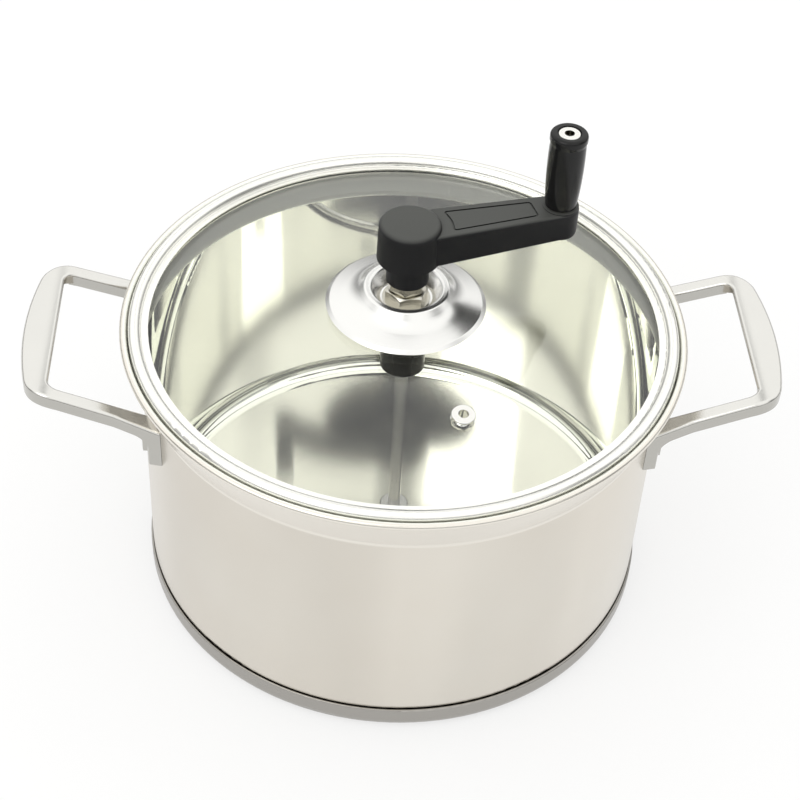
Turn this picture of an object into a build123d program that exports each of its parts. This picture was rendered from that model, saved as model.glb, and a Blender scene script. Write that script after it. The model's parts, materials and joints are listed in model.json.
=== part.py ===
from build123d import *
import math
import os

os.makedirs("parts", exist_ok=True)

# Millimetres. +Z is up and the origin is the centre of the base, on the stove.
# The two handles lie along X. The lid and the crank turn about Z.

# ----- pot shell -----
wall_radius = 120.0  # outside of the straight wall
pot_height = 144.6  # stove to the top of the rolled edge
shell_thickness = 1.0
pot_corner_radius = 9.0  # outside, between floor and wall
flare_depth = 21.1  # how far below the top the wall starts to lean out
flare_lean = 20.0  # degrees from upright
flare_bend_radius = 6.0
rim_bead_radius = 1.6  # rolled edge of the mouth

# ----- base -----
cap_overhang = 1.0  # how far the cap stands out from the wall
cap_height = 12.8
cap_thickness = 0.8
cap_corner_radius = 6.0
cap_edge_radius = 0.6
core_thickness = 5.6
core_inset = 8.0  # edge of the core inside the wall

# ----- handles -----
handle_reach = 172.4  # pot axis to the outermost point of the grip
grip_width = 14.6  # flat top of the grip at its middle
grip_bow_radius = 165.0
handle_drop = 7.8  # top of the grip below the top of the pot
handle_root_drop = 21.2  # top of the arms at the wall below the top of the pot
handle_slope_radius = 30.0  # where the arms level out into the grip
handle_gap_half = 38.8  # half of the inside width at the grip
handle_root_half = 40.8  # half of the inside width at the wall
arm_width = 6.6
foot_width = 10.6
foot_height = 23.6
foot_depth = 4.6
foot_flare_reach = 9.0  # the arms start to widen this far from the wall
handle_depth = 6.6  # height of the folded sides
grip_fold = 2.2  # height of the fold along the inner edge of the grip
grip_fold_taper = 6.0  # over which the folded sides of the arms run out into it
handle_sheet = 1.2
handle_outer_corner = 15.0
handle_inner_corner = 5.0
handle_edge_radius = 1.6
foot_bend_radius = 8.0
weld_clearance = 0.05  # foot to wall
weld_rise = 7.7  # above the bottom of the foot
weld_dimple_radius = 1.6
weld_dimple_depth = 0.4

# ----- lid ring and glass -----
lid_sink = 4.1  # seat of the lid below the top of the pot
seat_gap = 0.3
ring_sheet = 0.6
ring_bead_width = 5.6
ring_bead_height = 5.8  # top of the bead above the seat
ring_lip_width = 3.4
ring_lip_drop = 0.3
ring_crease_radius = 0.5
ring_bend_radius = 1.5  # at the seat and under the glass
ring_tuck_width = 1.2  # how far the lower lip reaches under the glass
glass_grip = 2.2  # how far the glass reaches under the upper lip
glass_thickness = 4.0
glass_lift = 2.2  # top of the glass at the lip, above the seat
glass_sag = 12.2  # rise of the glass from the lip to the centre
glass_gap = 0.1
glass_hole_radius = 7.0

# ----- vent -----
vent_distance = 72.8
vent_angle = -72.1  # degrees from +X
vent_bore_radius = 2.3
vent_tube_radius = 3.3
vent_hole_clearance = 0.3
vent_flange_radius = 5.3
vent_flange_height = 1.1
vent_flange_edge = 0.4

# ----- centre plate -----
plate_radius = 36.2
plate_sheet = 0.8
plate_bore_clearance = 0.2
plate_lift = 0.1  # edge of the plate above the glass
recess_radius = 12.0
recess_depth = 7.2
recess_corner_radius = 1.5
ridge_inner_radius = 16.2
ridge_outer_radius = 19.0
ridge_edge_radius = 1.7
shoulder_radius = 24.0
shoulder_drop = 4.7  # below the ridge
shoulder_bend_radius = 14.0
plate_edge_width = 1.7
plate_edge_height = 1.4
plate_edge_radius = 1.0

# ----- clamping stack on the axis -----
thread_clearance = 0.1
upper_gasket_radius = 11.5
upper_gasket_thickness = 0.9
lower_gasket_radius = 13.0
lower_gasket_thickness = 1.5
gasket_gap = 0.1
bushing_radius = 5.0
bushing_drop = 16.0  # foot of the bushing below the crown of the glass
bushing_recess = 0.2  # top of the bushing below the top of its nut
plate_washer_radius = 10.8
plate_washer_thickness = 1.2
plate_nut_flats = 17.0
plate_nut_height = 4.8
plate_nut_turn = 10.0
bearing_radius = 10.4
bearing_length = 34.0
bearing_edge_radius = 1.5

# ----- shaft and its retainers -----
shaft_radius = 3.0
shaft_clearance = 0.08
shaft_foot_gap = 1.6  # end of the shaft above the floor of the pot
thrust_gap = 0.15
thrust_washer_radius = 6.4
thrust_washer_thickness = 0.5
lock_nut_flats = 14.0
lock_nut_height = 5.2
lock_nut_turn = 22.0
fixed_clearance = 0.05
clip_thickness = 0.8
clip_radius = 5.2
clip_groove_depth = 0.6
clip_gap = 0.25
clip_mouth = 4.4

# ----- crank -----
crank_angle = 16.4  # degrees from +X at rest
crank_radius = 70.6  # shaft to the axis of the grip
boss_radius = 9.6
boss_height = 12.0
hub_height = 19.4
hub_foot_radius = 14.2
hub_top_radius = 13.8
hub_edge_radius = 2.4
hub_crown = 0.8
arm_root_radius = 11.2
arm_end_radius = 8.5
arm_step = 2.8  # top of the arm below the top of the hub
arm_fall = 2.2  # further drop of the arm's top out to the grip
arm_rise = 1.0  # rise of the arm's underside out to the grip
arm_edge_radius = 1.2
panel_start = 18.6
panel_end = 58.4
panel_root_half = 7.6
panel_end_half = 5.4
panel_corner_radius = 1.6
groove_width = 0.9
groove_depth = 0.6
insert_radius = 5.5
insert_length = 17.0
shaft_reach = 22.0  # top of the shaft above the foot of the boss
shaft_headroom = 1.0

# ----- revolving grip -----
pad_radius = 8.2
pad_height = 0.5
grip_washer_radius = 6.2
grip_washer_thickness = 0.6
grip_length = 37.6
grip_foot_radius = 7.1
grip_belly_radius = 8.2
grip_belly_height = 22.0
grip_neck_radius = 8.0
grip_cap_radius = 8.4
grip_cap_height = 5.0
grip_cap_edge = 1.6
grip_gap = 0.2
grip_bolt_radius = 3.0
bolt_head_radius = 4.9
bolt_head_height = 4.2
bolt_head_edge = 0.4
bolt_head_sink = 0.3
bolt_head_gap = 0.35
bolt_end_play = 0.2
bolt_socket_flats = 4.0
bolt_socket_depth = 2.4
bolt_thread_radius = 2.5
grip_nut_flats = 8.0
grip_nut_height = 4.0
grip_nut_sink = 0.3

# ----- stirrer -----
stirrer_angle = -4.0  # degrees from +X at rest
stirrer_hub_radius = 7.0
stirrer_hub_height = 13.0
stirrer_hub_gap = 1.8  # hub above the floor of the pot
stirrer_hub_edge = 0.6
wire_radius = 1.75
wire_floor_gap = 1.0
wire_hub_height = 4.4  # axis of the wire above the foot of the hub
wire_reach = 100.0
wire_tip_height = 13.0
wire_tip_run = 7.0
wire_step_start = 10.0
wire_step_end = 16.0
wire_bend_radius = 3.5
stirrer_screw_radius = 2.0
stirrer_screw_height = 9.4  # above the foot of the hub
stirrer_socket_flats = 2.0
stirrer_socket_depth = 1.5

# ----- heights and radii that follow -----
floor_underside = cap_thickness + core_thickness
floor_height = floor_underside + shell_thickness
flare_start = pot_height - flare_depth
flare_slope = math.tan(math.radians(flare_lean))
rim_bead_height = pot_height - rim_bead_radius
rim_bead_centre = wall_radius + (rim_bead_height - flare_start) * flare_slope
seat_height = pot_height - lid_sink
handle_height = pot_height - handle_drop
handle_root_height = pot_height - handle_root_drop
foot_bottom = handle_root_height - foot_height
weld_height = foot_bottom + weld_rise


def mouth_radius(height):
    """Radius of the inner face of the flared mouth at this height."""
    slant_thickness = shell_thickness / math.cos(math.radians(flare_lean))
    return wall_radius + (height - flare_start) * flare_slope - slant_thickness


ring_radius = mouth_radius(seat_height) - seat_gap
ring_crease = ring_radius - ring_bead_width
ring_opening = ring_crease - ring_lip_width
glass_edge = ring_opening + glass_grip
glass_rim_height = seat_height + glass_lift
glass_crown = glass_rim_height + glass_sag
glass_sphere = (ring_opening**2 + glass_sag**2) / (2 * glass_sag)
glass_centre = glass_crown - glass_sphere


def glass_top(radius):
    """Height of the upper face of the glass at this distance from the axis."""
    return glass_centre + math.sqrt(glass_sphere**2 - radius**2)


def glass_bottom(radius):
    """Height of the lower face of the glass at this distance from the axis."""
    return glass_centre + math.sqrt((glass_sphere - glass_thickness) ** 2 - radius**2)


plate_floor = glass_crown + gasket_gap + upper_gasket_thickness + plate_sheet
plate_washer_top = plate_floor + plate_washer_thickness
plate_nut_top = plate_washer_top + plate_nut_height
thrust_washer_bottom = plate_nut_top + thrust_gap
lock_nut_bottom = thrust_washer_bottom + thrust_washer_thickness
boss_bottom = lock_nut_bottom + lock_nut_height
hub_bottom = boss_bottom + boss_height
hub_top = hub_bottom + hub_height
lower_gasket_top = glass_bottom(lower_gasket_radius) - gasket_gap
bearing_top = lower_gasket_top - lower_gasket_thickness
bearing_bottom = bearing_top - bearing_length
bushing_bottom = glass_crown - bushing_drop
bushing_top = plate_nut_top - bushing_recess
bushing_bore = shaft_radius + shaft_clearance
thread_bore = bushing_radius + thread_clearance
shaft_bore = shaft_radius + fixed_clearance
shaft_bottom = floor_height + shaft_foot_gap
shaft_top = boss_bottom + shaft_reach
clip_top = bearing_bottom - clip_gap
clip_bottom = clip_top - clip_thickness
groove_radius = shaft_radius - clip_groove_depth
arm_top = hub_top - arm_step
arm_end_top = arm_top - arm_fall
arm_end_bottom = hub_bottom + arm_rise
pad_top = arm_end_top + pad_height
grip_washer_top = pad_top + grip_washer_thickness
grip_bottom = grip_washer_top + grip_gap
grip_top = grip_bottom + grip_length
bolt_head_top = grip_top - bolt_head_sink
bolt_head_bottom = bolt_head_top - bolt_head_height
grip_nut_bottom = arm_end_bottom + grip_nut_sink
stirrer_hub_bottom = floor_height + stirrer_hub_gap
wire_hub_axis = stirrer_hub_bottom + wire_hub_height
wire_low_axis = floor_height + wire_floor_gap + wire_radius


def level_plane(angle, height, reach=0.0):
    """Level plane at a height: x runs outwards at angle, and the origin lies out along it."""
    turn = math.radians(angle)
    outwards = Vector(math.cos(turn), math.sin(turn), 0)
    return Plane(origin=outwards * reach + Vector(0, 0, height), x_dir=outwards, z_dir=(0, 0, 1))


def upright_plane(angle, reach=0.0):
    """Upright plane at angle: x runs outwards, y runs up, and the origin lies out along x."""
    turn = math.radians(angle)
    outwards = Vector(math.cos(turn), math.sin(turn), 0)
    sideways = Vector(math.sin(turn), -math.cos(turn), 0)
    return Plane(origin=outwards * reach, x_dir=outwards, z_dir=sideways)


def finish(builder, name):
    """Name a finished piece and write it."""
    builder.part.label = name
    export_step(builder.part, "parts/" + name + ".step")


def ring_piece(plane, height, outside, inside):
    """A washer, seal or tube that stands on the plane."""
    with BuildPart() as piece:
        with BuildSketch(plane):
            Circle(outside)
            Circle(inside, mode=Mode.SUBTRACT)
        extrude(amount=height)
    return piece


def hex_nut(plane, height, flats, bore):
    """A nut that stands on the plane, with the corners of its top face turned off."""
    half_flats = flats / 2
    corner = flats / math.sqrt(3) + 0.01
    turned_off = (corner - half_flats) * math.tan(math.radians(35))
    with BuildPart() as piece:
        with BuildSketch(plane):
            RegularPolygon(half_flats, 6, major_radius=False)
            Circle(bore, mode=Mode.SUBTRACT)
        extrude(amount=height)
        with BuildSketch(Plane(origin=plane.origin, x_dir=plane.x_dir, z_dir=-plane.y_dir)):
            with BuildLine():
                Polyline(
                    (0, 0),
                    (corner, 0),
                    (corner, height - turned_off),
                    (half_flats, height),
                    (0, height),
                    close=True,
                )
            make_face()
        revolve(axis=Axis(plane.origin, plane.z_dir), mode=Mode.INTERSECT)
    return piece


# ----- pot shell: one drawn sheet with a rolled edge -----
with BuildPart() as pot_body:
    with BuildSketch(Plane.XZ):
        with BuildLine():
            FilletPolyline(
                (0, floor_underside),
                (wall_radius, floor_underside),
                (wall_radius, flare_start),
                (rim_bead_centre, rim_bead_height),
                radius=[pot_corner_radius, flare_bend_radius],
            )
            offset(amount=shell_thickness, side=Side.LEFT)
        make_face()
        with Locations((rim_bead_centre, rim_bead_height)):
            Circle(rim_bead_radius)
    revolve(axis=Axis.Z)
finish(pot_body, "pot_body")

# ----- aluminium core under the floor -----
with BuildPart() as base_core:
    with BuildSketch(Plane.XY.offset(cap_thickness)):
        Circle(wall_radius - core_inset)
    extrude(amount=core_thickness)
finish(base_core, "base_core")

# ----- stainless cap around the core -----
cap_radius = wall_radius + cap_overhang
with BuildPart() as base_cap:
    with BuildSketch(Plane.XZ):
        with BuildLine():
            FilletPolyline(
                (0, 0),
                (cap_radius, 0),
                (cap_radius, cap_height),
                radius=[cap_corner_radius],
            )
            offset(amount=cap_thickness, side=Side.LEFT)
        make_face()
    revolve(axis=Axis.Z)
    cap_lip = base_cap.edges().group_by(Axis.Z)[-1].sort_by(SortBy.LENGTH)[-1]
    fillet(cap_lip, cap_edge_radius)
finish(base_cap, "base_cap")

# ----- handles: a folded sheet, open underneath, with two feet on the wall -----
grip_inner_edge = handle_reach - grip_width
handle_corner_half = handle_gap_half + arm_width
bow_centre = handle_reach - grip_bow_radius
handle_corner_reach = bow_centre + math.sqrt(grip_bow_radius**2 - handle_corner_half**2)
foot_outer_half = handle_root_half + foot_width
flare_reach = wall_radius + foot_flare_reach
flare_half = handle_root_half + arm_width
foot_back = wall_radius + weld_clearance
foot_front = foot_back + foot_depth
wall_reach_at_foot = math.sqrt(wall_radius**2 - foot_outer_half**2)
root_reach = wall_reach_at_foot - handle_sheet
arm_rise_rate = (handle_height - handle_root_height) / (grip_inner_edge - wall_radius)
root_top = handle_root_height - arm_rise_rate * (wall_radius - root_reach)


def handle_side_form(drop):
    """Solid from the stove up to the top line of the handle, lowered by drop."""
    with BuildPart() as side_form:
        with BuildSketch(Plane.XZ.offset(-foot_outer_half)):
            with BuildLine():
                FilletPolyline(
                    (root_reach, root_top - drop),
                    (grip_inner_edge, handle_height - drop),
                    (handle_reach + drop, handle_height - drop),
                    radius=[handle_slope_radius],
                )
                Polyline(
                    (handle_reach + drop, handle_height - drop),
                    (handle_reach + drop, 0),
                    (root_reach, 0),
                    (root_reach, root_top - drop),
                )
            make_face()
        extrude(amount=2 * foot_outer_half)
    return side_form.part


def handle_form(inset):
    """Solid between the outer and inner outlines of the handle, drawn in by inset."""
    corner_x = handle_corner_reach - inset
    corner_y = handle_corner_half - inset
    with BuildPart() as form:
        with BuildSketch():
            with BuildLine():
                ThreePointArc((corner_x, -corner_y), (handle_reach - inset, 0), (corner_x, corner_y))
                Polyline(
                    (corner_x, corner_y),
                    (flare_reach, flare_half - inset),
                    (wall_reach_at_foot, foot_outer_half - inset),
                    (root_reach, foot_outer_half - inset),
                    (root_reach, -foot_outer_half + inset),
                    (wall_reach_at_foot, -foot_outer_half + inset),
                    (flare_reach, -flare_half + inset),
                    (corner_x, -corner_y),
                )
            outline = make_face()
            outer_corners = outline.vertices().group_by(Axis.X)[-1]
            fillet(outer_corners, handle_outer_corner - inset)
            with BuildLine():
                FilletPolyline(
                    (root_reach, handle_root_half + inset),
                    (grip_inner_edge + inset, handle_gap_half + inset),
                    (grip_inner_edge + inset, -handle_gap_half - inset),
                    (root_reach, -handle_root_half - inset),
                    radius=[handle_inner_corner + inset] * 2,
                )
                Line((root_reach, -handle_root_half - inset), (root_reach, handle_root_half + inset))
            make_face(mode=Mode.SUBTRACT)
        extrude(amount=handle_height)
        add(handle_side_form(inset), mode=Mode.INTERSECT)
        with BuildSketch():
            Circle(foot_back + inset)
        extrude(amount=handle_height, mode=Mode.SUBTRACT)
    return form.part


# all that lies below the folded sides, out from the front of the feet
with BuildPart() as handle_underside:
    add(handle_side_form(handle_depth))
    with BuildSketch():
        Circle(foot_front)
    extrude(amount=handle_height, mode=Mode.SUBTRACT)

with BuildPart() as right_handle:
    add(handle_form(0.0))
    top_faces = right_handle.faces().filter_by(lambda face: face.normal_at().Z > 0.7)
    top_edges = [edge for face in top_faces for edge in face.edges()]
    side_edges = [
        edge
        for edge in top_edges
        if sum(other.is_same(edge) for other in top_edges) == 1
        and math.hypot((edge @ 0.5).X, (edge @ 0.5).Y) > foot_back + 0.5
    ]
    fillet(side_edges, handle_edge_radius)
    add(handle_underside.part, mode=Mode.SUBTRACT)
    with BuildSketch():
        Rectangle(2 * handle_reach, 2 * handle_reach)
    extrude(amount=foot_bottom, mode=Mode.SUBTRACT)
    bend_edges = [
        edge
        for edge in right_handle.edges()
        if abs(math.hypot((edge @ 0.5).X, (edge @ 0.5).Y) - foot_front) < 0.01
        and (edge @ 0.5).Z > foot_bottom + 1
        and abs((edge % 0.5).Z) < 0.7
    ]
    fillet(bend_edges, foot_bend_radius)
    add(handle_form(handle_sheet), mode=Mode.SUBTRACT)
    with BuildSketch(Plane.YZ.offset(grip_inner_edge - handle_inner_corner)):
        with BuildLine():
            Polyline(
                (handle_gap_half, 0),
                (handle_gap_half, handle_height - handle_depth),
                (handle_gap_half - grip_fold_taper, handle_height - grip_fold),
                (grip_fold_taper - handle_gap_half, handle_height - grip_fold),
                (-handle_gap_half, handle_height - handle_depth),
                (-handle_gap_half, 0),
                close=True,
            )
        make_face()
    extrude(amount=handle_inner_corner + 1.25 * handle_sheet, mode=Mode.SUBTRACT)
    for side in (1, -1):
        weld_side = side * math.asin((handle_root_half + foot_width / 2) / wall_radius)
        weld_direction = Vector(math.cos(weld_side), math.sin(weld_side), 0)
        weld_face = foot_back + handle_sheet - weld_dimple_depth
        weld_origin = weld_direction * weld_face + Vector(0, 0, weld_height)
        with BuildSketch(Plane(origin=weld_origin, z_dir=weld_direction)):
            Circle(weld_dimple_radius)
        extrude(amount=handle_sheet, mode=Mode.SUBTRACT)
finish(right_handle, "right_handle")

with BuildPart() as left_handle:
    add(right_handle.part, rotation=(0, 0, 180))
finish(left_handle, "left_handle")

# ----- ring rolled around the edge of the glass -----
ring_lip_height = glass_rim_height + glass_gap + ring_sheet
ring_tuck_height = glass_bottom(glass_edge) - glass_gap - ring_sheet
ring_bead_top = seat_height + ring_bead_height
ring_crease_height = ring_lip_height - ring_lip_drop
ring_bead_rise = ring_bead_top - ring_crease_height
ring_bead_radius = min(0.46 * ring_bead_width, 0.95 * ring_bead_rise - ring_crease_radius)
with BuildPart() as lid_ring:
    with BuildSketch(Plane.XZ):
        with BuildLine():
            FilletPolyline(
                (ring_opening, ring_lip_height),
                (ring_crease, ring_crease_height),
                (ring_crease, ring_bead_top),
                (ring_radius, ring_bead_top),
                (ring_radius, seat_height),
                (mouth_radius(ring_tuck_height) - seat_gap, ring_tuck_height),
                (glass_edge - ring_tuck_width, ring_tuck_height),
                radius=[
                    ring_crease_radius,
                    ring_bead_radius,
                    ring_bead_radius,
                    ring_bend_radius,
                    ring_bend_radius,
                ],
            )
            offset(amount=ring_sheet, side=Side.LEFT)
        make_face()
    revolve(axis=Axis.Z)
finish(lid_ring, "lid_ring")

# ----- domed glass -----
vent_side = math.radians(vent_angle)
vent_outwards = Vector(math.cos(vent_side), math.sin(vent_side), 0)
vent_point = vent_outwards * vent_distance + Vector(0, 0, glass_top(vent_distance))
vent_normal = (vent_point - Vector(0, 0, glass_centre)).normalized()
vent_plane = Plane(origin=vent_point, x_dir=(-vent_outwards.Y, vent_outwards.X, 0), z_dir=vent_normal)
vent_foot_plane = vent_plane.offset(-glass_thickness - glass_gap - vent_flange_height)
with BuildPart() as lid_glass:
    half_way = (glass_hole_radius + glass_edge) / 2
    with BuildSketch(Plane.XZ):
        with BuildLine():
            ThreePointArc(
                (glass_hole_radius, glass_top(glass_hole_radius)),
                (half_way, glass_top(half_way)),
                (glass_edge, glass_top(glass_edge)),
            )
            Line((glass_edge, glass_top(glass_edge)), (glass_edge, glass_bottom(glass_edge)))
            ThreePointArc(
                (glass_edge, glass_bottom(glass_edge)),
                (half_way, glass_bottom(half_way)),
                (glass_hole_radius, glass_bottom(glass_hole_radius)),
            )
            Line(
                (glass_hole_radius, glass_bottom(glass_hole_radius)),
                (glass_hole_radius, glass_top(glass_hole_radius)),
            )
        make_face()
    revolve(axis=Axis.Z)
    with BuildSketch(vent_plane):
        Circle(vent_tube_radius + vent_hole_clearance)
    extrude(amount=2 * glass_thickness, both=True, mode=Mode.SUBTRACT)
finish(lid_glass, "lid_glass")

# ----- eyelet in the vent hole -----
with BuildPart() as vent_grommet:
    with BuildSketch(vent_plane.offset(glass_gap)):
        Circle(vent_flange_radius)
    extrude(amount=vent_flange_height)
    fillet(vent_grommet.edges(), vent_flange_edge)
    with BuildSketch(vent_foot_plane):
        Circle(vent_tube_radius)
    extrude(amount=glass_thickness + 2 * vent_flange_height)
    with BuildSketch(vent_foot_plane):
        Circle(vent_flange_radius)
    extrude(amount=vent_flange_height)
    with BuildSketch(vent_plane):
        Circle(vent_bore_radius)
    extrude(amount=2 * glass_thickness, both=True, mode=Mode.SUBTRACT)
finish(vent_grommet, "vent_grommet")

# ----- spun plate over the middle of the glass -----
ridge_top = plate_floor + recess_depth
plate_edge_bottom = glass_top(plate_radius) + plate_lift + plate_sheet
with BuildPart() as centre_plate:
    with BuildSketch(Plane.XZ):
        with BuildLine():
            FilletPolyline(
                (bushing_radius + plate_bore_clearance, plate_floor),
                (recess_radius, plate_floor),
                (ridge_inner_radius, ridge_top),
                (ridge_outer_radius, ridge_top),
                (shoulder_radius, ridge_top - shoulder_drop),
                (plate_radius - plate_edge_width, plate_edge_bottom + plate_edge_height),
                (plate_radius, plate_edge_bottom),
                radius=[
                    recess_corner_radius,
                    ridge_edge_radius,
                    ridge_edge_radius,
                    shoulder_bend_radius,
                    plate_edge_radius,
                ],
            )
            offset(amount=plate_sheet, side=Side.RIGHT)
        make_face()
    revolve(axis=Axis.Z)
finish(centre_plate, "centre_plate")

# ----- seals above and below the glass -----
upper_gasket = ring_piece(
    Plane.XY.offset(glass_crown + gasket_gap),
    upper_gasket_thickness,
    upper_gasket_radius,
    thread_bore,
)
finish(upper_gasket, "upper_gasket")

lower_gasket = ring_piece(
    Plane.XY.offset(bearing_top),
    lower_gasket_thickness,
    lower_gasket_radius,
    thread_bore,
)
finish(lower_gasket, "lower_gasket")

# ----- washer and nut that clamp the plate -----
plate_washer = ring_piece(
    Plane.XY.offset(plate_floor),
    plate_washer_thickness,
    plate_washer_radius,
    thread_bore,
)
finish(plate_washer, "plate_washer")

plate_nut = hex_nut(
    level_plane(plate_nut_turn, plate_washer_top),
    plate_nut_height,
    plate_nut_flats,
    thread_bore,
)
finish(plate_nut, "plate_nut")

# ----- threaded bushing through plate and glass -----
lid_bushing = ring_piece(
    Plane.XY.offset(bushing_bottom),
    bushing_top - bushing_bottom,
    bushing_radius,
    bushing_bore,
)
finish(lid_bushing, "lid_bushing")

# ----- bearing sleeve under the glass -----
with BuildPart() as lower_bearing:
    with BuildSketch(Plane.XY.offset(bearing_bottom)):
        Circle(bearing_radius)
    extrude(amount=bearing_length)
    fillet(lower_bearing.edges().group_by(Axis.Z)[0], bearing_edge_radius)
    with BuildSketch(Plane.XY.offset(bearing_bottom)):
        Circle(bushing_bore)
    extrude(amount=bearing_length, mode=Mode.SUBTRACT)
    with BuildSketch(Plane.XY.offset(bushing_bottom - thread_clearance)):
        Circle(thread_bore)
    extrude(amount=bearing_length, mode=Mode.SUBTRACT)
finish(lower_bearing, "lower_bearing")

# ----- drive shaft -----
with BuildPart() as drive_shaft:
    with BuildSketch(Plane.XY.offset(shaft_bottom)):
        Circle(shaft_radius)
    extrude(amount=shaft_top - shaft_bottom)
    with BuildSketch(Plane.XY.offset(clip_bottom - fixed_clearance)):
        Circle(shaft_radius)
        Circle(groove_radius, mode=Mode.SUBTRACT)
    extrude(amount=clip_thickness + 2 * fixed_clearance, mode=Mode.SUBTRACT)
    with BuildSketch(upright_plane(stirrer_angle + 90)):
        with Locations((0, wire_hub_axis)):
            Circle(wire_radius + fixed_clearance)
    extrude(amount=2 * shaft_radius, both=True, mode=Mode.SUBTRACT)
finish(drive_shaft, "drive_shaft")

# ----- washer and nut under the crank -----
thrust_washer = ring_piece(
    Plane.XY.offset(thrust_washer_bottom),
    thrust_washer_thickness,
    thrust_washer_radius,
    shaft_bore,
)
finish(thrust_washer, "thrust_washer")

crank_lock_nut = hex_nut(
    level_plane(lock_nut_turn, lock_nut_bottom),
    lock_nut_height,
    lock_nut_flats,
    shaft_bore,
)
finish(crank_lock_nut, "crank_lock_nut")

# ----- clip that stops the shaft from lifting out of the bearing -----
with BuildPart() as retaining_ring:
    with BuildSketch(Plane.XY.offset(clip_bottom)):
        Circle(clip_radius)
        Circle(groove_radius + fixed_clearance, mode=Mode.SUBTRACT)
        with Locations((-clip_radius, 0)):
            Rectangle(2 * clip_radius, clip_mouth, mode=Mode.SUBTRACT)
    extrude(amount=clip_thickness)
finish(retaining_ring, "retaining_ring")

# ----- crank: boss, hub and tapered arm with a grooved panel -----
arm_outwards = level_plane(crank_angle, 0).x_dir
arm_slant = Vector(crank_radius, 0, -arm_fall).normalized()
arm_along = arm_outwards * arm_slant.X + Vector(0, 0, arm_slant.Z)
arm_normal = arm_outwards * -arm_slant.Z + Vector(0, 0, arm_slant.X)
arm_top_plane = Plane(origin=(0, 0, arm_top), x_dir=arm_along, z_dir=arm_normal)
arm_far = crank_radius + 2 * arm_end_radius
grip_nut_pocket = grip_nut_flats / 2 + thread_clearance
with BuildPart() as crank_arm:
    with BuildSketch(level_plane(crank_angle, hub_bottom)):
        Circle(arm_root_radius)
        with Locations((crank_radius, 0)):
            Circle(arm_end_radius)
        make_hull()
    extrude(amount=hub_height)
    with BuildSketch(upright_plane(crank_angle)):
        with BuildLine():
            Polyline(
                (-hub_foot_radius, arm_top),
                (0, arm_top),
                (arm_far, arm_top - arm_fall * arm_far / crank_radius),
                (arm_far, hub_bottom + arm_rise * arm_far / crank_radius),
                (0, hub_bottom),
                (-hub_foot_radius, hub_bottom),
                close=True,
            )
        make_face()
    extrude(amount=hub_foot_radius, both=True, mode=Mode.INTERSECT)
    arm_edges = [
        edge
        for face in crank_arm.faces().filter_by(lambda face: abs(face.normal_at().Z) > 0.9)
        for edge in face.edges()
        if (edge @ 0.5).dot(arm_outwards) > hub_foot_radius
    ]
    fillet(arm_edges, arm_edge_radius)
    with BuildSketch(arm_top_plane) as panel:
        with BuildLine():
            Polyline(
                (panel_start / 2, panel_root_half),
                (panel_end, panel_end_half),
                (panel_end, -panel_end_half),
                (panel_start / 2, -panel_root_half),
                close=True,
            )
        make_face()
        Circle(panel_start, mode=Mode.SUBTRACT)
        fillet(panel.vertices(), panel_corner_radius)
        offset(amount=-groove_width, mode=Mode.SUBTRACT)
    extrude(amount=-groove_depth, mode=Mode.SUBTRACT)
    with BuildSketch(Plane.XZ) as hub_half:
        with BuildLine():
            Polyline(
                (0, hub_top),
                (0, hub_bottom),
                (hub_foot_radius, hub_bottom),
                (hub_top_radius, hub_top - hub_crown),
            )
            TangentArc(
                (0, hub_top),
                (hub_top_radius, hub_top - hub_crown),
                tangent=(1, 0),
            )
        make_face()
        fillet(hub_half.vertices().sort_by(Axis.Y)[-2], hub_edge_radius)
    revolve(axis=Axis.Z)
    with BuildSketch(Plane.XY.offset(boss_bottom)):
        Circle(boss_radius)
    extrude(amount=boss_height)
    with BuildSketch(level_plane(crank_angle, arm_end_bottom, crank_radius)):
        Circle(pad_radius)
    extrude(amount=pad_top - arm_end_bottom)
    with BuildSketch(Plane.XY.offset(boss_bottom)):
        Circle(insert_radius + fixed_clearance)
    extrude(amount=insert_length + fixed_clearance, mode=Mode.SUBTRACT)
    with BuildSketch(Plane.XY.offset(boss_bottom)):
        Circle(shaft_radius + thread_clearance)
    extrude(amount=shaft_reach + shaft_headroom, mode=Mode.SUBTRACT)
    with BuildSketch(level_plane(crank_angle, hub_bottom, crank_radius)):
        Circle(bolt_thread_radius + thread_clearance)
    extrude(amount=hub_height, mode=Mode.SUBTRACT)
    with BuildSketch(level_plane(crank_angle, hub_bottom, crank_radius)):
        RegularPolygon(grip_nut_pocket, 6, major_radius=False)
    extrude(amount=grip_nut_bottom + grip_nut_height + fixed_clearance - hub_bottom, mode=Mode.SUBTRACT)
finish(crank_arm, "crank_arm")

hub_insert = ring_piece(
    Plane.XY.offset(boss_bottom),
    insert_length,
    insert_radius,
    shaft_bore,
)
finish(hub_insert, "hub_insert")

# ----- bolt, washer and nut of the grip -----
with BuildPart() as grip_bolt:
    with BuildSketch(level_plane(crank_angle, bolt_head_bottom, crank_radius)):
        Circle(bolt_head_radius)
    extrude(amount=bolt_head_height)
    fillet(grip_bolt.edges().group_by(Axis.Z)[-1], bolt_head_edge)
    with BuildSketch(level_plane(crank_angle, pad_top, crank_radius)):
        Circle(grip_bolt_radius)
    extrude(amount=bolt_head_bottom - pad_top)
    with BuildSketch(level_plane(crank_angle, grip_nut_bottom, crank_radius)):
        Circle(bolt_thread_radius)
    extrude(amount=pad_top - grip_nut_bottom)
    with BuildSketch(level_plane(crank_angle, bolt_head_top, crank_radius)):
        RegularPolygon(bolt_socket_flats / 2, 6, major_radius=False)
    extrude(amount=-bolt_socket_depth, mode=Mode.SUBTRACT)
finish(grip_bolt, "grip_bolt")

grip_washer = ring_piece(
    level_plane(crank_angle, pad_top, crank_radius),
    grip_washer_thickness,
    grip_washer_radius,
    grip_bolt_radius + fixed_clearance,
)
finish(grip_washer, "grip_washer")

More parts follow.
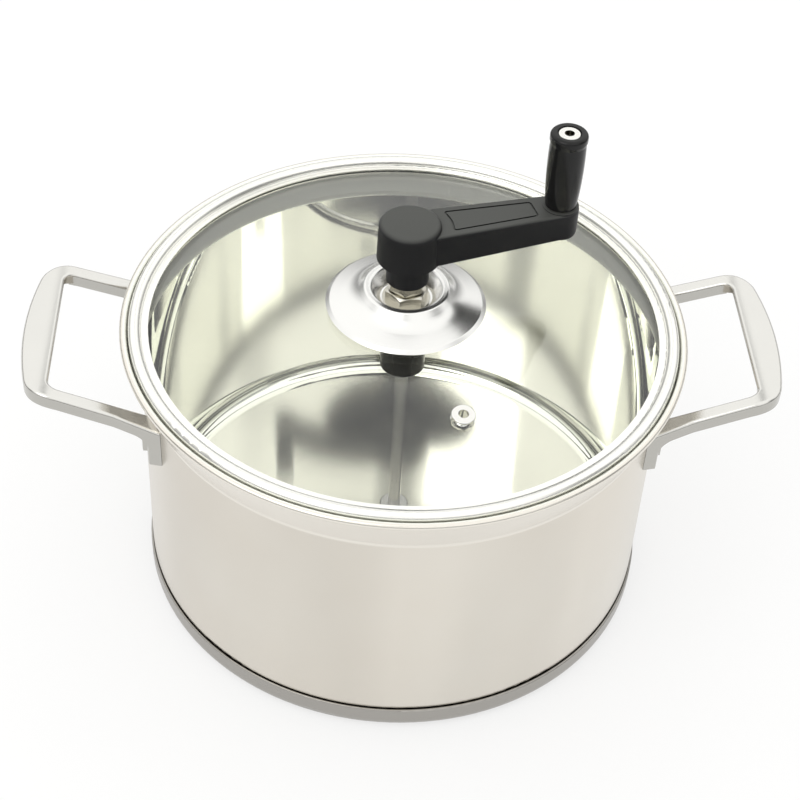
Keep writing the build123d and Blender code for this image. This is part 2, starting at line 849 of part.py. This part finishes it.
grip_nut = hex_nut(
    level_plane(crank_angle, grip_nut_bottom, crank_radius),
    grip_nut_height,
    grip_nut_flats,
    bolt_thread_radius + fixed_clearance,
)
finish(grip_nut, "grip_nut")

# ----- sleeve that turns on the bolt -----
grip_cap_bottom = grip_top - grip_cap_height
with BuildPart() as grip_sleeve:
    with BuildSketch(upright_plane(crank_angle, crank_radius)) as grip_half:
        with BuildLine():
            Polyline((0, grip_cap_bottom), (0, grip_bottom), (grip_foot_radius, grip_bottom))
            Spline(
                (grip_foot_radius, grip_bottom),
                (grip_belly_radius, grip_bottom + grip_belly_height),
                (grip_neck_radius, grip_cap_bottom),
            )
            Line((grip_neck_radius, grip_cap_bottom), (0, grip_cap_bottom))
        make_face()
        with BuildLine():
            Polyline(
                (0, grip_cap_bottom),
                (grip_neck_radius, grip_cap_bottom),
                (grip_cap_radius, grip_cap_bottom + grip_cap_edge),
                (grip_cap_radius, grip_top),
                (0, grip_top),
                close=True,
            )
        make_face()
    revolve(axis=Axis(level_plane(crank_angle, 0, crank_radius).origin, (0, 0, 1)))
    fillet(grip_sleeve.edges().group_by(Axis.Z)[-1], grip_cap_edge)
    with BuildSketch(level_plane(crank_angle, grip_bottom, crank_radius)):
        Circle(grip_bolt_radius + shaft_clearance)
    extrude(amount=grip_length, mode=Mode.SUBTRACT)
    with BuildSketch(level_plane(crank_angle, bolt_head_bottom - bolt_end_play, crank_radius)):
        Circle(bolt_head_radius + bolt_head_gap)
    extrude(amount=grip_length, mode=Mode.SUBTRACT)
finish(grip_sleeve, "grip_sleeve")

# ----- stirrer: collar, bent wire and grub screw -----
screw_axis_height = stirrer_hub_bottom + stirrer_screw_height
screw_plane = upright_plane(stirrer_angle)
with BuildPart() as stirrer_hub:
    with BuildSketch(Plane.XY.offset(stirrer_hub_bottom)):
        Circle(stirrer_hub_radius)
    extrude(amount=stirrer_hub_height)
    fillet(stirrer_hub.edges(), stirrer_hub_edge)
    with BuildSketch(Plane.XY.offset(stirrer_hub_bottom)):
        Circle(shaft_bore)
    extrude(amount=stirrer_hub_height, mode=Mode.SUBTRACT)
    with BuildSketch(upright_plane(stirrer_angle + 90)):
        with Locations((0, wire_hub_axis)):
            Circle(wire_radius + fixed_clearance)
    extrude(amount=2 * stirrer_hub_radius, both=True, mode=Mode.SUBTRACT)
    with BuildSketch(screw_plane):
        with Locations((0, screw_axis_height)):
            Circle(stirrer_screw_radius + fixed_clearance)
    extrude(amount=2 * stirrer_hub_radius, mode=Mode.SUBTRACT)
finish(stirrer_hub, "stirrer_hub")

with BuildPart() as stirrer_wire:
    with BuildLine(upright_plane(stirrer_angle)) as wire_path:
        FilletPolyline(
            (-wire_reach, wire_low_axis + wire_tip_height),
            (-wire_reach + wire_tip_run, wire_low_axis),
            (-wire_step_end, wire_low_axis),
            (-wire_step_start, wire_hub_axis),
            (wire_step_start, wire_hub_axis),
            (wire_step_end, wire_low_axis),
            (wire_reach - wire_tip_run, wire_low_axis),
            (wire_reach, wire_low_axis + wire_tip_height),
            radius=wire_bend_radius,
        )
    with BuildSketch(Plane(origin=wire_path.line @ 0, z_dir=wire_path.line % 0)):
        Circle(wire_radius)
    sweep(path=wire_path.line)
finish(stirrer_wire, "stirrer_wire")

with BuildPart() as stirrer_screw:
    with BuildSketch(screw_plane.offset(shaft_radius + fixed_clearance)):
        with Locations((0, screw_axis_height)):
            Circle(stirrer_screw_radius)
    extrude(amount=stirrer_hub_radius - stirrer_hub_edge - shaft_radius - fixed_clearance)
    with BuildSketch(screw_plane.offset(stirrer_hub_radius - stirrer_hub_edge)):
        with Locations((0, screw_axis_height)):
            RegularPolygon(stirrer_socket_flats / 2, 6, major_radius=False)
    extrude(amount=-stirrer_socket_depth, mode=Mode.SUBTRACT)
finish(stirrer_screw, "stirrer_screw")
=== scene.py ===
import json
import math

import bpy
from mathutils import Matrix, Vector

# Metres. +Z is up, the handles lie along X and the pot stands on z = 0.

# ----- camera -----
CAMERA_DISTANCE = 0.9136  # from the centre of the base
CAMERA_ELEVATION = math.radians(47.52)
CAMERA_SIDE = math.radians(-4.09)  # round from straight in front
CAMERA_LIFT = math.radians(4.277)  # looks this far above the centre of the base
CAMERA_ROLL = math.radians(3.404)
SENSOR_WIDTH = 36.0  # millimetres
LENS = 80.43  # millimetres

# ----- places on the object -----
FLARE_START = 0.1235  # height at which the wall starts to lean out
FLARE_FADE = (0.0015, 0.0005)  # the flare's finish and its painted paler reflection set in between these depths below its start
ARM_REACH = 0.0706  # from the shaft to the grip
ARM_TURN = math.radians(16.4)
GRIP_AXIS = (ARM_REACH * math.cos(ARM_TURN), ARM_REACH * math.sin(ARM_TURN))
SOCKET_RADIUS = 0.0022
SOCKET_EDGE = 0.05  # share of the radius over which the socket's painted shade fades

# ----- marks in the surfaces -----
MARK_DEPTH = 0.00004  # of turning and brushing marks
GRAIN_DEPTH = 0.0001  # of moulded grain
MARK_TURN = 0.0006  # how slowly turning marks change on their way round
STAIN = 0.04  # how much darker cloudy patches are

# ----- colours as they look in the photograph, in linear light -----
OUTSIDE_COLOR = (0.73, 0.695, 0.63)
OUTSIDE_BANDS = (0.93, 1.06)  # upright bands vary the outside between these shares
CLOUD_COLOR = (0.975, 0.965, 0.955)
WHITE = (1.0, 1.0, 1.0)
BLACK = (0.0, 0.0, 0.0)
# Outer flare painted paler than the wall: painted reflection of the pale table.
FLARE_REFLECTION_COLOR = (0.82, 0.785, 0.72)
INSIDE_COLOR = (0.96, 0.965, 0.90)
CAP_COLOR = (0.40, 0.385, 0.36)
HANDLE_COLOR = (0.74, 0.73, 0.70)
# Darker colour of the handles' upright faces: painted shade.
HANDLE_SHADED_SIDE_COLOR = (0.50, 0.49, 0.46)
RING_COLOR = (0.96, 0.955, 0.915)
BOLT_COLOR = (0.84, 0.83, 0.80)
PLATE_COLOR = (0.86, 0.855, 0.84)
NUT_COLOR = (0.66, 0.64, 0.57)
# Painted shade in the bolt's hex socket.
SOCKET_SHADE_COLOR = (0.10, 0.09, 0.07)
SHAFT_COLOR = (0.66, 0.65, 0.63)
BRASS_COLOR = (0.72, 0.54, 0.26)
CORE_COLOR = (0.72, 0.72, 0.73)
CRANK_COLOR = (0.009, 0.009, 0.010)
# Paler colour of the crank's upward faces: painted light from above.
CRANK_LIT_TOP_COLOR = (0.075, 0.077, 0.072)
GRIP_COLOR = (0.007, 0.007, 0.007)
BEARING_COLOR = (0.016, 0.016, 0.017)
SEAL_COLOR = (0.025, 0.025, 0.027)
GLASS_COLOR = (0.99, 0.998, 0.98)
GLASS_RIPPLE = 0.012  # most roughness of the glass
GRAIN_PALE = 1.35  # broad patches of moulded plastic are up to this much paler

# ----- shell finish -----
OUTSIDE_ROUGHNESS = (0.24, 0.27)
INSIDE_ROUGHNESS = (0.015, 0.035)
LIP_ROUGHNESS = 0.35  # added on the inside of the flare
LIP_METALLIC = 0.6

# ----- floor -----
FLOOR_HALF = 3.0
FLOOR_COLOR = (0.93, 0.93, 0.93)
FLOOR_LIFT = 0.66  # share of plain white that the camera, metal and glass see in the floor

# ----- light -----
KEY_PLACE = (-0.9, -0.9, 1.7)
KEY_TARGET = (0, 0, 0.1)
KEY_SIZE = 1.2
KEY_POWER = 5.0
# Room around the table: pale, brighter overhead, with a few darker places that the metal shows.
ROOM_HORIZON = (0.20, 0.20, 0.195)
ROOM_ZENITH = (1.25, 1.25, 1.23)
ROOM_RISE = (0.03, 0.45)  # upward part of the direction over which the room brightens
ROOM_SEEN = (1.05, 1.05, 1.05)  # colour behind the object
ROOM_STRENGTH = 0.95
# Each is (direction, inner and outer half-width in degrees, share of light left).
DARK_PLACES = (
    ((0.046, 0.708, 0.705), 3.2, 4.4, 0.22),
    ((-0.05, -0.67, 0.74), 3.0, 9.0, 0.45),
    ((0.86, -0.25, 0.45), 8.0, 20.0, 0.30),
    ((-0.92, -0.10, 0.38), 6.0, 15.0, 0.30),
)

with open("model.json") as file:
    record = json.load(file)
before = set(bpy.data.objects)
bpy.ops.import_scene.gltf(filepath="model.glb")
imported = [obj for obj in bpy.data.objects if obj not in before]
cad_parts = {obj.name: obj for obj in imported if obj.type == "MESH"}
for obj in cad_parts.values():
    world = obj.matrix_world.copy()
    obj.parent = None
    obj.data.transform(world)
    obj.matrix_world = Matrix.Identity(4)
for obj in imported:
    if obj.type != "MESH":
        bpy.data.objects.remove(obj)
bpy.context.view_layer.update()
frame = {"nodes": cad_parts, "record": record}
scene = bpy.context.scene


# ----- node helpers -----
def new_material(name):
    """A node material and its tree and main shader."""
    material = bpy.data.materials.new(name)
    material.use_nodes = True
    tree = material.node_tree
    return material, tree, tree.nodes["Principled BSDF"]


def math_node(tree, operation, first, second=None):
    """Output of a Math node, whose inputs are sockets or numbers."""
    node = tree.nodes.new("ShaderNodeMath")
    node.operation = operation
    for index, value in enumerate((first, second)):
        if value is None:
            continue
        if isinstance(value, (int, float)):
            node.inputs[index].default_value = value
        else:
            tree.links.new(value, node.inputs[index])
    return node.outputs[0]


def remap(tree, value, low, high, to_low, to_high, curve="LINEAR"):
    """Output of a clamped Map Range node."""
    node = tree.nodes.new("ShaderNodeMapRange")
    node.interpolation_type = curve
    tree.links.new(value, node.inputs["Value"])
    node.inputs["From Min"].default_value = low
    node.inputs["From Max"].default_value = high
    node.inputs["To Min"].default_value = to_low
    node.inputs["To Max"].default_value = to_high
    return node.outputs["Result"]


def mix_colors(tree, factor, first, second, blend="MIX"):
    """Output of a colour Mix node, whose inputs are sockets, or a number and colours."""
    node = tree.nodes.new("ShaderNodeMix")
    node.data_type = "RGBA"
    node.blend_type = blend
    if isinstance(factor, float):
        node.inputs["Factor"].default_value = factor
    else:
        tree.links.new(factor, node.inputs["Factor"])
    for name, value in (("A", first), ("B", second)):
        socket = next(s for s in node.inputs if s.name == name and s.type == "RGBA")
        if isinstance(value, tuple):
            socket.default_value = (*value, 1.0)
        else:
            tree.links.new(value, socket)
    return next(s for s in node.outputs if s.type == "RGBA")


def mix_numbers(tree, factor, first, second):
    """Output of a number Mix node."""
    node = tree.nodes.new("ShaderNodeMix")
    for name, value in (("Factor", factor), ("A", first), ("B", second)):
        tree.links.new(value, node.inputs[name])
    return node.outputs[0]


def separate(tree, vector):
    """The x, y and z of a vector."""
    parts = tree.nodes.new("ShaderNodeSeparateXYZ")
    tree.links.new(vector, parts.inputs[0])
    return parts.outputs


def place(tree):
    """Object coordinates, as one vector and as x, y and z."""
    coordinates = tree.nodes.new("ShaderNodeTexCoord").outputs["Object"]
    return coordinates, separate(tree, coordinates)


def facing(tree):
    """The x, y and z of the surface normal."""
    return separate(tree, tree.nodes.new("ShaderNodeNewGeometry").outputs["Normal"])


def combine(tree, x, y, z):
    """Vector from three sockets."""
    node = tree.nodes.new("ShaderNodeCombineXYZ")
    for index, value in enumerate((x, y, z)):
        tree.links.new(value, node.inputs[index])
    return node.outputs[0]


def length(tree, x, y):
    """Length of a vector in the plane."""
    squares = [math_node(tree, "POWER", value, 2.0) for value in (x, y)]
    return math_node(tree, "SQRT", math_node(tree, "ADD", *squares))


def lathe_place(tree):
    """Coordinates of turning marks: distance from the axis, height, and a little of the angle."""
    x, y, z = place(tree)[1]
    angle = math_node(tree, "ARCTAN2", y, x)
    return combine(tree, length(tree, x, y), z, math_node(tree, "MULTIPLY", angle, MARK_TURN))


def stretched_place(tree, scale):
    """Object coordinates scaled by (x, y, z), for marks that run along one way."""
    mapping = tree.nodes.new("ShaderNodeMapping")
    mapping.inputs["Scale"].default_value = scale
    tree.links.new(place(tree)[0], mapping.inputs["Vector"])
    return mapping.outputs[0]


def noise(tree, vector, scale, detail=3.0, roughness=0.55):
    """Value of a Noise Texture."""
    node = tree.nodes.new("ShaderNodeTexNoise")
    node.inputs["Scale"].default_value = scale
    node.inputs["Detail"].default_value = detail
    node.inputs["Roughness"].default_value = roughness
    tree.links.new(vector, node.inputs["Vector"])
    return node.outputs["Fac"]


def bump(tree, shader, height, strength, distance):
    """Adds relief to the shader."""
    node = tree.nodes.new("ShaderNodeBump")
    node.inputs["Strength"].default_value = strength
    node.inputs["Distance"].default_value = distance
    tree.links.new(height, node.inputs["Height"])
    tree.links.new(node.outputs["Normal"], shader.inputs["Normal"])


def stretch_gloss(tree, shader, amount):
    """Stretches the highlights across marks that run round the axis."""
    shader.inputs["Anisotropic"].default_value = amount
    tangent = tree.nodes.new("ShaderNodeTangent")
    tangent.direction_type = "RADIAL"
    tangent.axis = "Z"
    tree.links.new(tangent.outputs[0], shader.inputs["Tangent"])


def stained(tree, color, scale):
    """The colour with faint cloudy patches."""
    clouds = noise(tree, place(tree)[0], scale, 3.0)
    dark = tuple(channel * (1.0 - STAIN) for channel in color)
    return mix_colors(tree, clouds, dark, color)


def vary_roughness(tree, shader, marks, roughness, spread):
    """Roughness that follows the marks."""
    tree.links.new(remap(tree, marks, 0.3, 0.7, roughness - spread / 2, roughness + spread / 2),
                   shader.inputs["Roughness"])


def turned_metal(name, color, roughness, spread=0.08, marks=1500.0, relief=0.10, anisotropic=0.0):
    """Metal with fine marks round the axis and faint cloudy patches."""
    material, tree, shader = new_material(name)
    shader.inputs["Metallic"].default_value = 1.0
    lines = noise(tree, lathe_place(tree), marks, 4.0, 0.6)
    tree.links.new(stained(tree, color, 18.0), shader.inputs["Base Color"])
    vary_roughness(tree, shader, lines, roughness, spread)
    bump(tree, shader, lines, relief, MARK_DEPTH)
    if anisotropic:
        stretch_gloss(tree, shader, anisotropic)
    return material


def brushed_metal(name, color, roughness, scale, relief=0.10, shaded_side_color=None, shaded_pit=None):
    """Metal with fine marks that run along one way and faint cloudy patches.

    Upright faces may have a darker colour as painted shade, and a recess at a given (x, y, radius) may be
    painted dark as shade.
    """
    material, tree, shader = new_material(name)
    shader.inputs["Metallic"].default_value = 1.0
    lines = noise(tree, stretched_place(tree, scale), 1.0, 4.0, 0.6)
    tint = stained(tree, color, 40.0)
    # Upright faces take a darker colour: painted shade.
    if shaded_side_color:
        upwards = remap(tree, facing(tree)[2], 0.15, 0.75, 0.0, 1.0)
        tint = mix_colors(tree, upwards, shaded_side_color, tint)
    # The recess is painted dark: painted shade.
    if shaded_pit:
        x, y = place(tree)[1][:2]
        distance = length(tree, math_node(tree, "SUBTRACT", x, shaded_pit[0]),
                          math_node(tree, "SUBTRACT", y, shaded_pit[1]))
        inner, outer = shaded_pit[2] * (1.0 - SOCKET_EDGE), shaded_pit[2] * (1.0 + SOCKET_EDGE)
        tint = mix_colors(tree, remap(tree, distance, inner, outer, 0.0, 1.0), SOCKET_SHADE_COLOR, tint)
    tree.links.new(tint, shader.inputs["Base Color"])
    vary_roughness(tree, shader, lines, roughness, 0.08)
    bump(tree, shader, lines, relief, MARK_DEPTH)
    return material


def moulded(name, color, roughness, grain, relief, specular=0.5, lit_top_color=None):
    """Dark moulded plastic or rubber with a fine grain, which may be paler on faces turned up: painted
    light from above.
    """
    material, tree, shader = new_material(name)
    shader.inputs["Specular IOR Level"].default_value = specular
    fine = noise(tree, place(tree)[0], grain, 2.0)
    broad = noise(tree, place(tree)[0], 60.0, 2.0)
    tint = mix_colors(tree, broad, color, tuple(channel * GRAIN_PALE for channel in color))
    # Faces turned up may take a paler colour: painted light from above.
    if lit_top_color:
        upwards = remap(tree, facing(tree)[2], 0.35, 0.95, 0.0, 1.0)
        tint = mix_colors(tree, upwards, tint, lit_top_color)
    tree.links.new(tint, shader.inputs["Base Color"])
    vary_roughness(tree, shader, fine, roughness, 0.10)
    bump(tree, shader, fine, relief, GRAIN_DEPTH)
    return material


# ----- materials -----
def shell_material():
    """Drawn steel shell: satin outside, brighter inside, with turning marks, a satin inner lip and an outer
    flare painted paler as reflection of the table.
    """
    material, tree, shader = new_material("shell_steel")
    coordinates, (x, y, z) = place(tree)
    lines = noise(tree, lathe_place(tree), 1300.0, 4.0, 0.6)
    clouds = noise(tree, coordinates, 12.0, 3.0)
    normal = facing(tree)
    outward = math_node(tree, "ADD", math_node(tree, "MULTIPLY", x, normal[0]),
                        math_node(tree, "MULTIPLY", y, normal[1]))
    outside = remap(tree, outward, -0.02, 0.02, 0.0, 1.0)
    flare = remap(tree, z, FLARE_START - FLARE_FADE[0], FLARE_START - FLARE_FADE[1], 0.0, 1.0)
    satin_lip = math_node(tree, "MULTIPLY", flare, math_node(tree, "SUBTRACT", 1.0, outside))
    tree.links.new(remap(tree, satin_lip, 0.0, 1.0, 1.0, LIP_METALLIC), shader.inputs["Metallic"])
    inside_rough = math_node(tree, "ADD", remap(tree, lines, 0.3, 0.7, *INSIDE_ROUGHNESS),
                             math_node(tree, "MULTIPLY", flare, LIP_ROUGHNESS))
    outside_rough = remap(tree, lines, 0.3, 0.7, *OUTSIDE_ROUGHNESS)
    tree.links.new(mix_numbers(tree, outside, inside_rough, outside_rough), shader.inputs["Roughness"])
    round_place = combine(tree, math_node(tree, "MULTIPLY", x, 14.0), math_node(tree, "MULTIPLY", y, 14.0),
                          math_node(tree, "MULTIPLY", z, 2.5))
    bands = noise(tree, round_place, 1.0, 2.0)
    dark, pale = (tuple(channel * share for channel in OUTSIDE_COLOR) for share in OUTSIDE_BANDS)
    outside_tint = mix_colors(tree, remap(tree, bands, 0.3, 0.7, 0.0, 1.0), dark, pale)
    cloudy = mix_colors(tree, remap(tree, clouds, 0.35, 0.65, 0.0, 1.0), CLOUD_COLOR, WHITE)
    outside_tint = mix_colors(tree, 1.0, outside_tint, cloudy, "MULTIPLY")
    # The outer flare is painted paler: painted reflection of the table below it.
    outside_tint = mix_colors(tree, flare, outside_tint, FLARE_REFLECTION_COLOR)
    tree.links.new(mix_colors(tree, outside, INSIDE_COLOR, outside_tint), shader.inputs["Base Color"])
    bump(tree, shader, lines, 0.015, MARK_DEPTH)
    stretch_gloss(tree, shader, 0.4)
    return material


def glass_material():
    """Clear toughened glass."""
    material, tree, shader = new_material("clear_glass")
    shader.inputs["Base Color"].default_value = (*GLASS_COLOR, 1.0)
    shader.inputs["Transmission Weight"].default_value = 1.0
    shader.inputs["IOR"].default_value = 1.5
    ripple = noise(tree, place(tree)[0], 25.0, 1.0)
    tree.links.new(remap(tree, ripple, 0.3, 0.7, 0.0, GLASS_RIPPLE), shader.inputs["Roughness"])
    return material


MATERIALS = {
    "pot_steel": shell_material(),
    "cap_steel": turned_metal("cap_steel", CAP_COLOR, 0.30, anisotropic=0.4),
    "core_aluminium": turned_metal("core_aluminium", CORE_COLOR, 0.4),
    "handle_steel": brushed_metal("handle_steel", HANDLE_COLOR, 0.22, (300.0, 1500.0, 1500.0), relief=0.05,
                                  shaded_side_color=HANDLE_SHADED_SIDE_COLOR),
    "ring_steel": turned_metal("ring_steel", RING_COLOR, 0.27, spread=0.04, relief=0.02),
    "lid_glass": glass_material(),
    "plate_chrome": turned_metal("plate_chrome", PLATE_COLOR, 0.24, spread=0.05, marks=2500.0, relief=0.05),
    "eyelet_steel": brushed_metal("eyelet_steel", BOLT_COLOR, 0.14, (900.0, 900.0, 900.0)),
    "seal_rubber": moulded("seal_rubber", SEAL_COLOR, 0.6, 1500.0, 0.2),
    "nut_steel": brushed_metal("nut_steel", NUT_COLOR, 0.20, (700.0, 700.0, 2500.0)),
    "bearing_black": moulded("bearing_black", BEARING_COLOR, 0.20, 1500.0, 0.02),
    "shaft_steel": turned_metal("shaft_steel", SHAFT_COLOR, 0.22),
    "crank_black": moulded("crank_black", CRANK_COLOR, 0.45, 2200.0, 0.25, specular=0.25,
                           lit_top_color=CRANK_LIT_TOP_COLOR),
    "grip_black": moulded("grip_black", GRIP_COLOR, 0.20, 2200.0, 0.02, specular=0.3),
    "insert_brass": turned_metal("insert_brass", BRASS_COLOR, 0.3),
    "bolt_chrome": brushed_metal("bolt_chrome", BOLT_COLOR, 0.15, (900.0, 900.0, 900.0),
                                 shaded_pit=(*GRIP_AXIS, SOCKET_RADIUS)),
    "wire_steel": brushed_metal("wire_steel", SHAFT_COLOR, 0.25, (300.0, 1500.0, 1500.0)),
}

slots = {part["node"]: part["material_slot"] for part in frame["record"]["subparts"]}
for node, piece in frame["nodes"].items():
    piece.data.materials.clear()
    piece.data.materials.append(MATERIALS[slots[node]])


# ----- camera -----
def camera_matrix():
    """Stands back from the centre of the base, looks a little above it, and leans."""
    level = Vector((math.sin(CAMERA_SIDE), -math.cos(CAMERA_SIDE), 0.0))
    away = level * math.cos(CAMERA_ELEVATION) + Vector((0.0, 0.0, math.sin(CAMERA_ELEVATION)))
    to_centre = -away
    side = to_centre.cross(Vector((0.0, 0.0, 1.0))).normalized()
    upper = side.cross(to_centre)
    ahead = to_centre * math.cos(CAMERA_LIFT) + upper * math.sin(CAMERA_LIFT)
    upper = side.cross(ahead)
    right = side * math.cos(CAMERA_ROLL) + upper * math.sin(CAMERA_ROLL)
    top = upper * math.cos(CAMERA_ROLL) - side * math.sin(CAMERA_ROLL)
    turn = Matrix((right, top, -ahead)).transposed().to_4x4()
    return Matrix.Translation(away * CAMERA_DISTANCE) @ turn


camera_data = bpy.data.cameras.new("camera")
camera_data.lens = LENS
camera_data.sensor_width = SENSOR_WIDTH
camera = bpy.data.objects.new("camera", camera_data)
scene.collection.objects.link(camera)
camera.matrix_world = camera_matrix()
scene.camera = camera


# ----- floor -----
def floor_material():
    """Pale table top that keeps the shadow."""
    material, tree, shader = new_material("pale_table")
    shader.inputs["Base Color"].default_value = (*FLOOR_COLOR, 1.0)
    shader.inputs["Roughness"].default_value = 0.7
    shader.inputs["Specular IOR Level"].default_value = 0.2
    rays = tree.nodes.new("ShaderNodeLightPath").outputs
    seen = math_node(tree, "MAXIMUM", rays["Is Camera Ray"],
                     math_node(tree, "MAXIMUM", rays["Is Glossy Ray"], rays["Is Transmission Ray"]))
    white = tree.nodes.new("ShaderNodeEmission")
    mixer = tree.nodes.new("ShaderNodeMixShader")
    tree.links.new(math_node(tree, "MULTIPLY", seen, FLOOR_LIFT), mixer.inputs[0])
    tree.links.new(shader.outputs[0], mixer.inputs[1])
    tree.links.new(white.outputs[0], mixer.inputs[2])
    tree.links.new(mixer.outputs[0], tree.nodes["Material Output"].inputs["Surface"])
    return material


floor_mesh = bpy.data.meshes.new("table_top")
floor_mesh.from_pydata(
    [(-FLOOR_HALF, -FLOOR_HALF, 0), (FLOOR_HALF, -FLOOR_HALF, 0), (FLOOR_HALF, FLOOR_HALF, 0),
     (-FLOOR_HALF, FLOOR_HALF, 0)], [], [(0, 1, 2, 3)])
floor_mesh.materials.append(floor_material())
floor = bpy.data.objects.new("table_top", floor_mesh)
scene.collection.objects.link(floor)


# ----- light -----
key_data = bpy.data.lights.new("key_light", "AREA")
key_data.size = KEY_SIZE
key_data.energy = KEY_POWER
key_light = bpy.data.objects.new("key_light", key_data)
scene.collection.objects.link(key_light)
key_light.location = KEY_PLACE
key_light.rotation_euler = (Vector(KEY_TARGET) - Vector(KEY_PLACE)).to_track_quat("-Z", "Y").to_euler()


def room_light():
    """World light that depends only on direction."""
    world = bpy.data.worlds.new("studio")
    world.use_nodes = True
    tree = world.node_tree
    direction = tree.nodes.new("ShaderNodeTexCoord").outputs["Generated"]
    upwards = separate(tree, direction)[2]
    tint = mix_colors(tree, remap(tree, upwards, *ROOM_RISE, 0.0, 1.0), ROOM_HORIZON, ROOM_ZENITH)
    for towards, inner, outer, left in DARK_PLACES:
        dot = tree.nodes.new("ShaderNodeVectorMath")
        dot.operation = "DOT_PRODUCT"
        tree.links.new(direction, dot.inputs[0])
        dot.inputs[1].default_value = Vector(towards).normalized()
        shade = remap(tree, dot.outputs["Value"], math.cos(math.radians(outer)),
                      math.cos(math.radians(inner)), 0.0, 1.0 - left, "SMOOTHSTEP")
        tint = mix_colors(tree, shade, tint, BLACK)
    seen = tree.nodes.new("ShaderNodeLightPath").outputs["Is Camera Ray"]
    tint = mix_colors(tree, seen, tint, ROOM_SEEN)
    tree.links.new(tint, tree.nodes["Background"].inputs["Color"])
    tree.nodes["Background"].inputs["Strength"].default_value = ROOM_STRENGTH
    return world


scene.world = room_light()

scene.view_settings.view_transform = "Standard"
